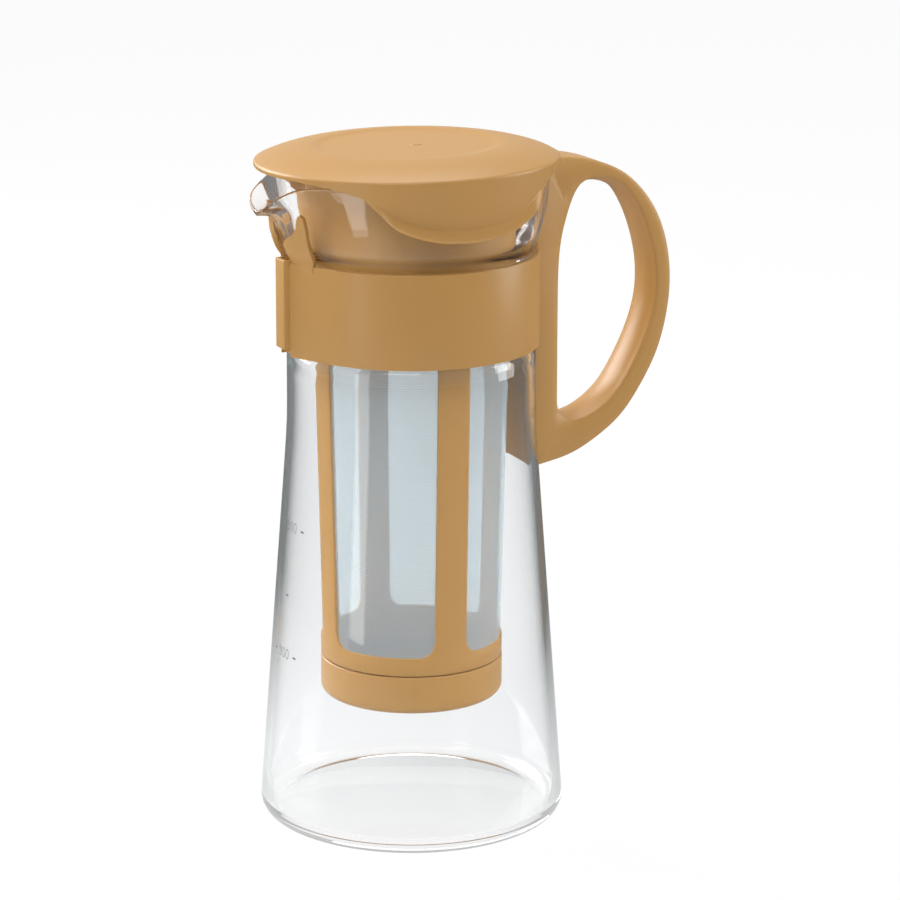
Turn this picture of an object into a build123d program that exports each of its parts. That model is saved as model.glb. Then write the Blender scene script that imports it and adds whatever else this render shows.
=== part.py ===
"""Cold brew coffee jug with a lift-out strainer, a clasped handle band and a loose lid.

The frame: the origin is the centre of the glass base, +Z is up, the handle is at +X
and the pouring spout at -X. All lengths are millimetres.
"""
import os
from math import asin, atan2, cos, exp, hypot, radians, sin, sqrt

from build123d import *

# ---------------------------------------------------------------- glass jug
base_radius = 45.75          # where the cone would meet the table
cone_height = 120.0          # where the cone becomes straight
neck_radius = 35.2           # groove that the band sits in
neck_depth = 1.25            # how much deeper the groove is than the straight waist
neck_bottom = 143.1
neck_height = 27.9
neck_step = 1.2              # height of the slope from the waist into the groove
cup_height = 23.6            # from the groove to the rim
cup_flare = 4.6              # how much wider the rim is than the groove
glass_wall = 2.0
glass_floor = 3.0
heel_radius = 5.0
spout_half_angle = 15.5      # degrees, width of the pulled spout
spout_sharpness = 2.6
spout_flank = 3.0            # how far the cup is pulled out below the lip
spout_pull = 9.5             # how far the lip is pulled out
spout_drop = 9.7             # how far the lip lies below the rim

waist_radius = neck_radius + neck_depth
neck_top = neck_bottom + neck_height
rim_height = neck_top + cup_height
rim_radius = neck_radius + cup_flare
# Each level of the cup: share of its height, share of its flare, how far the spout is pulled.
cup_levels = [
    (-0.06, -0.13, 0.0),
    (0.13, 0.35, 0.6 * spout_flank),
    (0.25, 0.59, 0.95 * spout_flank),
    (0.40, 0.80, spout_flank),
    (0.56, 0.97, spout_flank + 0.1 * (spout_pull - spout_flank)),
    (0.64, 1.0, spout_pull),
    (0.80, 1.0, spout_pull),
    (1.10, 1.0, spout_pull),
]
cup_overlap = 0.07           # share of the cup's height that its inside starts higher
# The rim seen from the side: share of the way out to the lip, share of its drop.
rim_dip = [(0.0, 0.0), (0.36, 0.11), (0.65, 0.35), (0.84, 0.62), (1.0, 1.0)]
dip_start = 3.4              # how far inside the rim's radius the dip begins
section_points = 72          # points round one level of the cup

# ---------------------------------------------------------------- band and clasp
band_wall = 2.05
band_fit = 0.15              # band to glass
band_inset = 0.2             # band to the edges of the groove
nose_reach = 4.8             # from the groove to the nose's front face, under the spout
nose_half_width = 3.1
nose_floor = 3.0             # from the groove to the recess that the clasp sits in
band_split = 0.6
rail_neck = 1.0              # half width
rail_head = 2.0              # half width
rail_step = 1.0              # how far the rail stands out before it widens
rail_lip = 1.2               # thickness of the wide part
rail_top_gap = 0.3           # the rail ends this far below the band's top
clasp_fit = 0.25
clasp_gap = 0.1              # clasp to the recess
clasp_proud = 1.8            # how far the clasp stands out of the nose
clasp_raise = 2.2            # clasp's bottom above the band's
clasp_crest = 0.7            # clasp's top above the band's
clasp_corner = 0.6

horn_gap = 0.35              # horns to glass
horn_wall = 1.4
horn_root = 1.0              # how far the horns reach down into the band
# One horn seen from the spout: distance from the middle, height above the groove.
horn_inner_edge = [(3.2, 6.4), (5.2, 8.0), (8.5, 10.9), (10.2, 14.0), (11.2, 15.0)]
horn_outer_edge = [(11.2, 15.0), (12.2, 14.0), (11.7, 7.0), (10.4, -1.0)]

# ---------------------------------------------------------------- handle
post_reach = 9.4             # from the groove to the post's outer face, in the finger hole
post_half_width = 7.4
root_half_width = 10.3       # where the post hugs the glass
strap_half_width = 6.6
handle_gap = 0.3             # handle to glass
# Outer edge of the loop seen from the side, from the lid round to the foot of the post:
# distance out from the post's face, height above the bottom of the groove.
loop_outer = [
    (-3.1, 52.5),
    (3.4, 52.8),
    (11.4, 51.1),
    (20.9, 46.9),
    (29.4, 39.2),
    (35.9, 27.4),
    (38.3, 12.4),
    (36.2, -2.6),
    (30.9, -15.6),
    (22.9, -27.1),
    (11.4, -35.4),
    (2.9, -39.3),
    (-4.6, -40.7),
]
# Edge of the finger hole in the same terms, from the top of the post's straight face
# over the top and down to the foot of that face.
loop_inner = [
    (0.0, 17.9),
    (1.6, 28.4),
    (4.3, 37.6),
    (8.0, 43.5),
    (13.4, 45.4),
    (19.7, 43.5),
    (25.6, 36.3),
    (31.2, 25.2),
    (33.5, 12.4),
    (31.6, -1.1),
    (25.7, -13.7),
    (18.4, -20.8),
    (11.1, -24.1),
    (5.0, -25.0),
    (1.4, -23.1),
    (0.0, -18.6),
]

# ---------------------------------------------------------------- strainer
strainer_wall = 1.5
strainer_play = 2.0          # strainer's widest part to the neck
cup_taper = 1.8              # how much narrower the solid cup is where the ribs begin
cup_solid_height = 33.4      # height of that solid cup
rib_taper = 2.5              # how much narrower the lower ring is than that
ring_bottom = 49.3
ring_height = 5.5            # lower ring, up to the windows
window_drop = 5.0            # from the start of the ribs down to the windows' top
window_corner = 3.5
rib_width = 10.0
spigot_length = 5.0          # the part of the frame that the bottom cap goes over
spigot_step = 1.65           # how much thinner it is
ear_overlap = 1.4            # how far the hanging ears reach over the rim
ear_half_width = 8.0
ear_thickness = 1.5
ear_lift = 0.3               # ear to glass rim
mesh_wall = 0.4
mesh_fit = 0.05
mesh_overlap = 3.0           # how far the mesh reaches past the windows
mesh_ledge = 0.9             # ledge under the mesh
cap_wall = 1.3
cap_floor = 1.6
cap_height = 11.6
cap_proud = 0.1              # how much wider the cap is than the ring
cap_edge = 2.4
cap_seam = 0.3               # gap between the cap and the lower ring

# ---------------------------------------------------------------- lid
lid_offset = -1.5            # the lid's centre lies toward the spout
lid_overhang = 4.4           # lid's edge beyond the rim
lid_lift = 2.5               # lid's edge above the rim
lid_edge = 1.5
crown_rise = 4.8             # above the edge
crown_share = 0.84           # share of the radius that the crown rises over
dish_radius = 26.0
dish_depth = 0.7
lid_wall = 2.0
skirt_wall = 1.2
skirt_gap = 1.0              # skirt to the rim's radius at its narrowest
skirt_flare = 1.3            # how far the skirt's lip turns out
skirt_waist_depth = 12.8
skirt_depth = 16.2
plug_wall = 1.5
plug_depth = 9.1
plug_fit = 0.35
seat_gap = 0.3               # lid to strainer rim
seat_wall = 1.9
notch_half_width = 13.5      # cut-out for the top of the handle
# Lower edge of one side skirt: share of the lid's radius out from the middle, share of the
# skirt's depth that is left.
skirt_edge = [(0.0, 1.0), (0.32, 0.9), (0.5, 0.69), (0.68, 0.24), (0.86, 0.06), (1.04, 0.0)]

# ---------------------------------------------------------------- worked out from these
band_bottom = neck_bottom + band_inset
band_top = neck_top - band_inset / 2
band_radius = neck_radius + band_fit + band_wall
nose_front = neck_radius + nose_reach
recess_face = neck_radius + nose_floor
rail_wide = recess_face + rail_step
rail_front = rail_wide + rail_lip
clasp_back = recess_face + clasp_gap
clasp_front = nose_front + clasp_proud
clasp_bottom = band_bottom + clasp_raise
clasp_top = band_top + clasp_crest
post_face = neck_radius + post_reach
handle_inside = neck_radius - glass_wall

strainer_top = rim_height + ear_lift + ear_thickness
ribs_top = strainer_top - cup_solid_height
cup_top_radius = neck_radius - glass_wall - strainer_play
cup_waist_radius = cup_top_radius - cup_taper
ring_radius = cup_waist_radius - rib_taper
window_bottom = ring_bottom + ring_height
window_top = ribs_top - window_drop

lid_radius = rim_radius + lid_overhang
lid_edge_bottom = rim_height + lid_lift
lid_edge_top = lid_edge_bottom + lid_edge
skirt_waist_radius = rim_radius + skirt_gap + skirt_wall
plug_bottom = lid_edge_bottom - plug_depth
beyond = 2 * rim_height      # further than anything reaches

os.makedirs("parts", exist_ok=True)


def spout_bump(angle):
    """Share of the full pull at an angle in degrees from the spout's middle."""
    return exp(-((abs(angle) / spout_half_angle) ** spout_sharpness))


def cup_points(radius, pull):
    """Points round one level of the cup, starting at the handle."""
    points = []
    for step in range(section_points):
        turn = 360.0 * step / section_points
        reach = radius + pull * spout_bump(turn - 180.0)
        points.append((reach * cos(radians(turn)), reach * sin(radians(turn))))
    return points


def cup_section(height, radius, pull):
    """A closed face across the cup at one height."""
    with BuildSketch(Plane.XY.offset(height)) as section:
        with BuildLine():
            Spline(*cup_points(radius, pull), periodic=True)
        make_face()
    return section.sketch


def cup_solid(grow, lift=0.0):
    """The filled cup above the groove, grown outward and lifted."""
    with BuildPart() as solid:
        for rise, flare, pull in cup_levels:
            height = neck_top + rise * cup_height + lift
            add(cup_section(height, neck_radius + flare * cup_flare + grow, pull))
        loft(ruled=True)
    return solid.part


def body_solid(grow, floor, top, heel):
    """The filled jug from its floor to the top of the groove, grown outward."""
    slope = (base_radius - waist_radius) / cone_height
    with BuildPart() as solid:
        with BuildSketch(Plane.XZ) as outline:
            with BuildLine():
                Polyline(
                    (0, floor),
                    (base_radius + grow - slope * floor, floor),
                    (waist_radius + grow, cone_height),
                    (waist_radius + grow, neck_bottom - neck_step),
                    (neck_radius + grow, neck_bottom),
                    (neck_radius + grow, top),
                    (0, top),
                    close=True,
                )
            make_face()
            fillet(outline.vertices().group_by(Axis.Y)[0].sort_by(Axis.X)[-1], radius=heel)
        revolve(axis=Axis.Z)
    return solid.part


# ================================================================ glass jug
dip_from = -(rim_radius - dip_start)
dip_to = -(rim_radius + spout_pull + glass_wall / 2)
rim_line = [
    (dip_from + out * (dip_to - dip_from), rim_height - drop * spout_drop)
    for out, drop in rim_dip
]
with BuildPart() as glass_jug:
    inner_lift = cup_overlap * cup_height
    add(body_solid(0.0, 0.0, neck_top, heel_radius))
    add(cup_solid(0.0))
    add(
        body_solid(-glass_wall, glass_floor, neck_top + inner_lift, heel_radius - glass_wall),
        mode=Mode.SUBTRACT,
    )
    add(cup_solid(-glass_wall, lift=inner_lift), mode=Mode.SUBTRACT)
    # The rim is cut level, and dips to the lip of the spout.
    with BuildSketch(Plane.XZ):
        with BuildLine():
            Line((beyond, rim_height), rim_line[0])
            Spline(*rim_line)
            Polyline(
                rim_line[-1],
                (-beyond, rim_line[-1][1]),
                (-beyond, beyond),
                (beyond, beyond),
                (beyond, rim_height),
            )
        make_face()
    extrude(amount=beyond, both=True, mode=Mode.SUBTRACT)
glass_jug.part.label = "glass_jug"


# ================================================================ handle and band
def above_neck(points):
    """Points of a horn's edge, moved up to the groove's top."""
    return [(out, neck_top + rise) for out, rise in points]


def on_loop(points):
    """Points of the handle's outline, moved to the post's face."""
    return [(post_face + out, neck_bottom + rise) for out, rise in points]


with BuildPart() as horn_pair:
    add(cup_solid(horn_gap + horn_wall))
    add(cup_solid(horn_gap), mode=Mode.SUBTRACT)
    inner_edge = above_neck(horn_inner_edge)
    outer_edge = above_neck(horn_outer_edge)
    root = (inner_edge[0][0], neck_top - horn_root)
    with BuildSketch(Plane.YZ):
        with BuildLine():
            Line(root, inner_edge[0])
            Spline(*inner_edge)
            Spline(*outer_edge)
            Line(outer_edge[-1], root)
        make_face()
        mirror(about=Plane.XZ)
    extrude(amount=-beyond, mode=Mode.INTERSECT)

with BuildPart() as handle_loop:
    outer_line = on_loop(loop_outer)
    hole_line = on_loop(loop_inner)
    with BuildSketch(Plane.XZ):
        with BuildLine():
            Spline(*outer_line)
            Polyline(
                outer_line[-1],
                (handle_inside, outer_line[-1][1]),
                (handle_inside, outer_line[0][1]),
                outer_line[0],
            )
        make_face()
        with BuildLine():
            Spline(*hole_line, tangents=((0, 1), (0, 1)))
            Line(hole_line[-1], hole_line[0])
        make_face(mode=Mode.SUBTRACT)
    extrude(amount=root_half_width, both=True)
    # Seen from above the post narrows from the glass to the grip.
    with BuildSketch(Plane.XY):
        with BuildLine():
            Polyline(
                (handle_inside, root_half_width),
                (waist_radius, root_half_width),
                (post_face, post_half_width),
                (beyond, strap_half_width),
                (beyond, -strap_half_width),
                (post_face, -post_half_width),
                (waist_radius, -root_half_width),
                (handle_inside, -root_half_width),
                close=True,
            )
        make_face()
    extrude(amount=beyond, mode=Mode.INTERSECT)

# The nose's flanks touch the ring where their tangents from its front corners do.
flank = sqrt(hypot(nose_front, nose_half_width) ** 2 - band_radius**2)
touch_turn = atan2(nose_half_width, nose_front) + atan2(flank, band_radius)
touch = (-band_radius * cos(touch_turn), band_radius * sin(touch_turn))
with BuildPart() as handle_band:
    band_height = band_top - band_bottom
    with BuildSketch(Plane.XY.offset(band_bottom)):
        Circle(band_radius)
        with BuildLine():
            Polyline(
                (0, 0),
                touch,
                (-nose_front, nose_half_width),
                (-nose_front, -nose_half_width),
                (touch[0], -touch[1]),
                close=True,
            )
        make_face()
    extrude(amount=band_height)
    add(horn_pair.part)
    add(handle_loop.part)
    # Room for the glass, all the way up.
    add(body_solid(handle_gap, -glass_floor, band_bottom, heel_radius), mode=Mode.SUBTRACT)
    with BuildSketch(Plane.XY.offset(band_bottom - band_wall)):
        Circle(neck_radius + band_fit)
    extrude(amount=band_height + 2 * band_wall, mode=Mode.SUBTRACT)
    add(cup_solid(handle_gap), mode=Mode.SUBTRACT)
    # Recess for the clasp, with a rail left standing, and the split between the ends.
    with BuildSketch(Plane.XY.offset(band_bottom)):
        with Locations((-(recess_face + nose_reach), 0)):
            Rectangle(2 * nose_reach, 2 * nose_half_width)
    extrude(amount=clasp_top + clasp_fit - band_bottom, mode=Mode.SUBTRACT)
    with BuildSketch(Plane.XY.offset(clasp_bottom)):
        with Locations((-(recess_face + rail_wide) / 2, 0)):
            Rectangle(rail_step + 2 * band_fit, 2 * rail_neck)
        with Locations((-(rail_wide + rail_front) / 2, 0)):
            Rectangle(rail_lip, 2 * rail_head)
    extrude(amount=band_top - rail_top_gap - clasp_bottom)
    with BuildSketch(Plane.XY.offset(band_bottom)):
        with Locations((-recess_face, 0)):
            Rectangle(2 * nose_reach, band_split)
    extrude(amount=clasp_top - band_bottom, mode=Mode.SUBTRACT)
handle_band.part.label = "handle_band"

with BuildPart() as band_clasp:
    # A channel that wraps both halves of the rail, open at both ends.
    clasp_height = clasp_top - clasp_bottom
    with BuildSketch(Plane.XY.offset(clasp_bottom)) as clasp_outline:
        with Locations((-(clasp_front + clasp_back) / 2, 0)):
            Rectangle(clasp_front - clasp_back, 2 * (nose_half_width - clasp_gap))
        fillet(clasp_outline.vertices().group_by(Axis.X)[0], radius=clasp_corner)
    extrude(amount=clasp_height)
    with BuildSketch(Plane.XY.offset(clasp_bottom)):
        with Locations((-(recess_face + rail_wide) / 2, 0)):
            Rectangle(2 * rail_step, 2 * (rail_neck + clasp_fit))
        with Locations((-(rail_wide + rail_front) / 2, 0)):
            Rectangle(rail_lip + 2 * clasp_fit, 2 * (rail_head + clasp_fit))
    extrude(amount=clasp_height, mode=Mode.SUBTRACT)
band_clasp.part.label = "band_clasp"


# ================================================================ strainer
def strainer_radius(height):
    """Outer radius of the strainer at a height."""
    if height > ribs_top:
        share = (height - ribs_top) / (strainer_top - ribs_top)
        return cup_waist_radius + share * (cup_top_radius - cup_waist_radius)
    share = (height - ring_bottom) / (ribs_top - ring_bottom)
    return ring_radius + share * (cup_waist_radius - ring_radius)


def window_half_width(height):
    """Half the width of a window at a height, so that the ribs keep their width."""
    radius = strainer_radius(height)
    return radius * sin(radians(45) - asin(rib_width / 2 / radius))


mesh_low = window_bottom - mesh_overlap
mesh_high = window_top + mesh_overlap
mesh_seat = mesh_low - mesh_fit
with BuildPart() as strainer_frame:
    seat_radius = strainer_radius(mesh_seat) - strainer_wall
    with BuildSketch(Plane.XZ):
        with BuildLine():
            Polyline(
                (seat_radius - mesh_ledge, ring_bottom - spigot_length),
                (ring_radius - spigot_step, ring_bottom - spigot_length),
                (ring_radius - spigot_step, ring_bottom),
                (ring_radius, ring_bottom),
                (cup_waist_radius, ribs_top),
                (cup_top_radius, strainer_top),
                (cup_top_radius - strainer_wall, strainer_top),
                (cup_waist_radius - strainer_wall, ribs_top),
                (seat_radius, mesh_seat),
                (seat_radius - mesh_ledge, mesh_seat),
                close=True,
            )
        make_face()
    revolve(axis=Axis.Z)
    # Four windows, with a rib between each pair: at the spout, the handle and both sides.
    lower_half = window_half_width(window_bottom)
    upper_half = window_half_width(window_top)
    for turn in (45, 135):
        across = (cos(radians(turn + 90)), sin(radians(turn + 90)), 0)
        outward = (cos(radians(turn)), sin(radians(turn)), 0)
        with BuildSketch(Plane(origin=(0, 0, 0), x_dir=across, z_dir=outward)) as window:
            with BuildLine():
                Polyline(
                    (-lower_half, window_bottom),
                    (lower_half, window_bottom),
                    (upper_half, window_top),
                    (-upper_half, window_top),
                    close=True,
                )
            make_face()
            fillet(window.vertices(), radius=window_corner)
        extrude(amount=beyond, both=True, mode=Mode.SUBTRACT)
    # Ears over the glass rim, which the strainer hangs by.
    ear_reach = rim_radius - glass_wall + ear_overlap
    with BuildSketch(Plane.XY.offset(rim_height + ear_lift)):
        Circle(ear_reach)
        Rectangle(2 * ear_half_width, 2 * ear_reach, mode=Mode.INTERSECT)
        Circle(cup_top_radius - strainer_wall / 2, mode=Mode.SUBTRACT)
    extrude(amount=ear_thickness)
strainer_frame.part.label = "strainer_frame"

with BuildPart() as strainer_mesh:
    low_radius = strainer_radius(mesh_low) - strainer_wall - mesh_fit
    high_radius = strainer_radius(mesh_high) - strainer_wall - mesh_fit
    with BuildSketch(Plane.XZ):
        with BuildLine():
            Polyline(
                (low_radius, mesh_low),
                (high_radius, mesh_high),
                (high_radius - mesh_wall, mesh_high),
                (low_radius - mesh_wall, mesh_low),
                close=True,
            )
        make_face()
    revolve(axis=Axis.Z)
strainer_mesh.part.label = "strainer_mesh"

with BuildPart() as strainer_cap:
    cap_radius = ring_radius + cap_proud
    cap_top = ring_bottom - cap_seam
    cap_bottom = cap_top - cap_height
    with BuildSketch(Plane.XZ) as cap_outline:
        with Locations((cap_radius / 2, (cap_bottom + cap_top) / 2)):
            Rectangle(cap_radius, cap_height)
        fillet(cap_outline.vertices().group_by(Axis.Y)[0].sort_by(Axis.X)[-1], radius=cap_edge)
    revolve(axis=Axis.Z)
    with BuildSketch(Plane.XY.offset(cap_bottom + cap_floor)):
        Circle(cap_radius - cap_wall)
    extrude(amount=cap_height, mode=Mode.SUBTRACT)
strainer_cap.part.label = "strainer_cap"


# ================================================================ lid
def crown_point(radius, drop=0.0):
    """A point on the lid's crown at a distance from the lid's centre."""
    span = crown_share * lid_radius
    inward = min(lid_radius - radius, span)
    rise = crown_rise * sqrt(1 - (1 - inward / span) ** 2)
    return (radius + lid_offset, lid_edge_top + rise - drop)


with BuildPart() as lid:
    lid_axis = Axis((lid_offset, 0, 0), (0, 0, 1))
    # Crowned disc with a shallow dish, hollow below.
    rim_span = lid_radius - dish_radius
    crown = [crown_point(dish_radius + share * rim_span) for share in (0, 0.4, 0.75, 0.94, 1)]
    edge_inside = (lid_radius - skirt_wall + lid_offset, lid_edge_bottom)
    under = [crown_point(dish_radius + share * rim_span, lid_wall) for share in (0.8, 0.4, 0)]
    dish_top = crown[0][1] - dish_depth
    with BuildSketch(Plane.XZ):
        with BuildLine():
            Polyline((lid_offset, dish_top), (dish_radius / 2 + lid_offset, dish_top), crown[0])
            Spline(*crown)
            Polyline(crown[-1], (crown[-1][0], lid_edge_bottom), edge_inside)
            Spline(edge_inside, *under)
            Polyline(
                under[-1],
                (dish_radius / 2 + lid_offset, dish_top - lid_wall),
                (lid_offset, dish_top - lid_wall),
                (lid_offset, dish_top),
            )
        make_face()
    revolve(axis=lid_axis)
    # The skirt goes round outside the glass rim and hangs lower at both sides.
    skirt_waist = lid_edge_bottom - skirt_waist_depth
    skirt_bottom = lid_edge_bottom - skirt_depth
    skirt_line = [
        (lid_radius, lid_edge_bottom + lid_edge / 3),
        (lid_radius, lid_edge_bottom),
        (skirt_waist_radius, skirt_waist),
        (skirt_waist_radius + skirt_flare, skirt_bottom - skirt_wall),
    ]
    outside = [(radius + lid_offset, height) for radius, height in skirt_line]
    inside = [(radius + lid_offset - skirt_wall, height) for radius, height in skirt_line]
    with BuildSketch(Plane.XZ):
        with BuildLine():
            Polyline(*outside, *reversed(inside), close=True)
        make_face()
    revolve(axis=lid_axis)
    half_edge = [
        (share * lid_radius, lid_edge_bottom - left * skirt_depth) for share, left in skirt_edge
    ]
    edge_line = [(lid_offset - out, height) for out, height in reversed(half_edge[1:])]
    edge_line += [(lid_offset + out, height) for out, height in half_edge]
    with BuildSketch(Plane.XZ):
        with BuildLine():
            Spline(*edge_line)
            Polyline(edge_line[-1], (edge_line[-1][0], 0), (edge_line[0][0], 0), edge_line[0])
        make_face()
    extrude(amount=beyond, both=True, mode=Mode.SUBTRACT)
    # Plug ring inside the strainer, and the ring that sits on the strainer's rim.
    plug_radius = strainer_radius(plug_bottom) - strainer_wall - plug_fit
    roof = dish_top - lid_wall / 2
    with BuildSketch(Plane.XY.offset(plug_bottom)):
        Circle(plug_radius)
        Circle(plug_radius - plug_wall, mode=Mode.SUBTRACT)
    extrude(amount=roof - plug_bottom)
    with BuildSketch(Plane.XY.offset(strainer_top + seat_gap)):
        Circle(cup_top_radius)
        Circle(cup_top_radius - seat_wall, mode=Mode.SUBTRACT)
    extrude(amount=roof - strainer_top - seat_gap)
    # Notch for the top of the handle.
    with BuildSketch(Plane.XY):
        with Locations((rim_radius + beyond / 2, 0)):
            Rectangle(beyond, 2 * notch_half_width)
    extrude(amount=beyond, mode=Mode.SUBTRACT)
lid.part.label = "lid"

for piece in (glass_jug, handle_band, band_clasp, strainer_frame, strainer_mesh, strainer_cap, lid):
    export_step(piece.part, f"parts/{piece.part.label}.step")
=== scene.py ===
"""Looks of a cold brew jug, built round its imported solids.

The frame is that of the solids: the origin is the middle of the glass base, +Z is up, the
handle is at +X and the pouring spout at -X. Sizes are written in millimetres, and every
piece is scaled to metres once, as its mesh is finished.
"""
from __future__ import annotations

import logging
import math
from dataclasses import dataclass
from enum import Enum
from typing import Callable, Sequence

import bmesh
import bpy
from bmesh.types import BMesh, BMEdge, BMVert
from mathutils import Euler, Matrix, Vector
from mathutils.bvhtree import BVHTree

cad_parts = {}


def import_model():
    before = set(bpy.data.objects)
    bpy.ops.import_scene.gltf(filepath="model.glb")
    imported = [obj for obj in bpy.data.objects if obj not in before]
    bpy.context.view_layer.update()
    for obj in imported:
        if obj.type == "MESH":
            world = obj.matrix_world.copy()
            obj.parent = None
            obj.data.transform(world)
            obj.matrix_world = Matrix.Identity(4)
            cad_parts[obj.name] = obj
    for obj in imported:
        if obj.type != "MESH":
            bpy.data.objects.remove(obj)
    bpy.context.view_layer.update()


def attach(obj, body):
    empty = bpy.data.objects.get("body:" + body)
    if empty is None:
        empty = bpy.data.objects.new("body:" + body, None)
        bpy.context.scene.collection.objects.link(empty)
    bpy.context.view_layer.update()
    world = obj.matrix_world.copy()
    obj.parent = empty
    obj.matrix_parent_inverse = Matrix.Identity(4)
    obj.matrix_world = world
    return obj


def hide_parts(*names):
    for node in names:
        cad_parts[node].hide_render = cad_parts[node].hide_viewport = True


LOG = logging.getLogger("jug")
MM = 0.001
Pair = tuple[float, float]
Colour = tuple[float, float, float]


class Slot(Enum):
    """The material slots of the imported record."""

    GLASS = "clear_glass"
    PLASTIC = "tan_plastic"
    MESH = "mesh_fabric"


class Body(Enum):
    """The bodies that pieces ride on."""

    JUG = "jug"
    CLASP = "clasp"
    STRAINER = "strainer"
    CAP = "bottom_cap"
    LID = "lid"


# ------------------------------------------------------------------ small tools


def read_off(table: Sequence[Pair], place: float) -> float:
    """Reads a smooth curve through a short table.

    Args:
        table: (place, value) pairs in rising order of place.
        place: where to read the curve. Beyond its ends the end value holds.

    Returns:
        The value there, which never overshoots its two neighbours.
    """
    if place <= table[0][0]:
        return table[0][1]
    if place >= table[-1][0]:
        return table[-1][1]
    slopes = [(b[1] - a[1]) / (b[0] - a[0]) for a, b in zip(table, table[1:])]
    index = next(i for i in range(len(slopes)) if place <= table[i + 1][0])
    (x0, y0), (x1, y1) = table[index], table[index + 1]

    def tangent(i: int) -> float:
        """Slope of the curve at one entry of the table."""
        if i == 0 or i == len(slopes) or slopes[i - 1] * slopes[i] <= 0:
            return 0.0 if 0 < i < len(slopes) else slopes[min(i, len(slopes) - 1)]
        return 2 * slopes[i - 1] * slopes[i] / (slopes[i - 1] + slopes[i])

    span = x1 - x0
    t = (place - x0) / span
    rise = y1 - y0
    start, end = tangent(index) * span, tangent(index + 1) * span
    return y0 + t * (start + t * (3 * rise - 2 * start - end + t * (start + end - 2 * rise)))


def along(points: Sequence[Pair], count: int) -> list[Pair]:
    """Walks a smooth line through points in equal steps.

    Args:
        points: the points that the line passes through.
        count: how many points to give back, with both ends.

    Returns:
        Points at equal distances on a Catmull-Rom line.
    """
    ends = [points[0], *points, points[-1]]
    fine: list[Vector] = []
    steps = 12
    for a, b, c, d in zip(ends, ends[1:], ends[2:], ends[3:]):
        p, q, r, s = (Vector(x) for x in (a, b, c, d))
        for step in range(steps):
            t = step / steps
            fine.append(
                0.5 * (2 * q + (r - p) * t + (2 * p - 5 * q + 4 * r - s) * t**2
                       + (3 * q - p - 3 * r + s) * t**3)
            )
    fine.append(Vector(points[-1]))
    reach = [0.0]
    for a, b in zip(fine, fine[1:]):
        reach.append(reach[-1] + (b - a).length)
    out: list[Pair] = []
    index = 0
    for number in range(count):
        want = reach[-1] * number / (count - 1)
        while index < len(fine) - 2 and reach[index + 1] < want:
            index += 1
        share = (want - reach[index]) / max(reach[index + 1] - reach[index], 1e-9)
        spot = fine[index].lerp(fine[index + 1], min(share, 1.0))
        out.append((spot.x, spot.y))
    return out


def evened(points: Sequence[Pair], rounds: int) -> list[Pair]:
    """Takes the small waves out of a line, and keeps its ends.

    Args:
        points: points at equal distances.
        rounds: how often each point moves to the mean of itself and its neighbours.

    Returns:
        The calmer line.
    """
    line = [Vector(point) for point in points]
    for _ in range(rounds):
        inner = [(a + 2 * b + c) / 4 for a, b, c in zip(line, line[1:], line[2:])]
        line = [line[0], *inner, line[-1]]
    return [(spot.x, spot.y) for spot in line]


def arc(centre: Pair, radius: float, start: float, end: float, count: int) -> list[Pair]:
    """Points on an arc.

    Args:
        centre: middle of the arc.
        radius: its radius.
        start: first angle in degrees.
        end: last angle in degrees.
        count: how many points, with both ends.

    Returns:
        The points in order.
    """
    out = []
    for number in range(count):
        turn = math.radians(start + (end - start) * number / (count - 1))
        out.append((centre[0] + radius * math.cos(turn), centre[1] + radius * math.sin(turn)))
    return out


def spin_profile(profile: Sequence[Pair], steps: int, centre: Pair = (0.0, 0.0)) -> BMesh:
    """Turns a profile of (radius, height) about a vertical axis.

    Args:
        profile: points from the axis or round a closed ring.
        steps: segments in the full turn.
        centre: x and y of the axis.

    Returns:
        A new bmesh, with each vertex's place in the profile in the int layer "level".
    """
    bm = bmesh.new()
    level = bm.verts.layers.int.new("level")
    made: list[BMVert] = []
    for number, (radius, height) in enumerate(profile):
        vert = bm.verts.new((centre[0] + radius, centre[1], height))
        vert[level] = number
        made.append(vert)
    edges = [bm.edges.new(pair) for pair in zip(made, made[1:])]
    bmesh.ops.spin(
        bm,
        geom=made + edges,
        cent=(centre[0], centre[1], 0),
        axis=(0, 0, 1),
        angle=math.tau,
        steps=steps,
        use_merge=True,
    )
    bmesh.ops.remove_doubles(bm, verts=bm.verts, dist=1e-4)
    bmesh.ops.recalc_face_normals(bm, faces=bm.faces)
    return bm


def skin(
    columns: int, rows: int, place: Callable[[int, int], Vector], closed: tuple[bool, bool]
) -> BMesh:
    """Lays a grid over a surface.

    Args:
        columns: cells across.
        rows: cells up.
        place: gives the position of a grid corner from its column and row.
        closed: whether the last column meets the first, and the last row the first.

    Returns:
        A new bmesh with the grid, its doubles merged.
    """
    bm = bmesh.new()
    bmesh.ops.create_grid(bm, x_segments=columns, y_segments=rows, size=0.5)
    for vert in bm.verts:
        column = round((vert.co.x + 0.5) * columns)
        row = round((vert.co.y + 0.5) * rows)
        column = column % columns if closed[0] else column
        row = row % rows if closed[1] else row
        vert.co = place(column, row)
    bmesh.ops.remove_doubles(bm, verts=bm.verts, dist=1e-4)
    return bm


def plate(outline: Sequence[Pair], bottom: float, top: float) -> BMesh:
    """Raises a flat outline into a plate.

    Args:
        outline: corners in the XY plane.
        bottom: height of the lower face.
        top: height of the upper face.

    Returns:
        A new closed bmesh.
    """
    bm = bmesh.new()
    face = bm.faces.new([bm.verts.new((x, y, bottom)) for x, y in outline])
    raised = bmesh.ops.extrude_face_region(bm, geom=[face])["geom"]
    verts = [item for item in raised if isinstance(item, BMVert)]
    bmesh.ops.translate(bm, verts=verts, vec=(0, 0, top - bottom))
    bmesh.ops.recalc_face_normals(bm, faces=bm.faces)
    return bm


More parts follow.
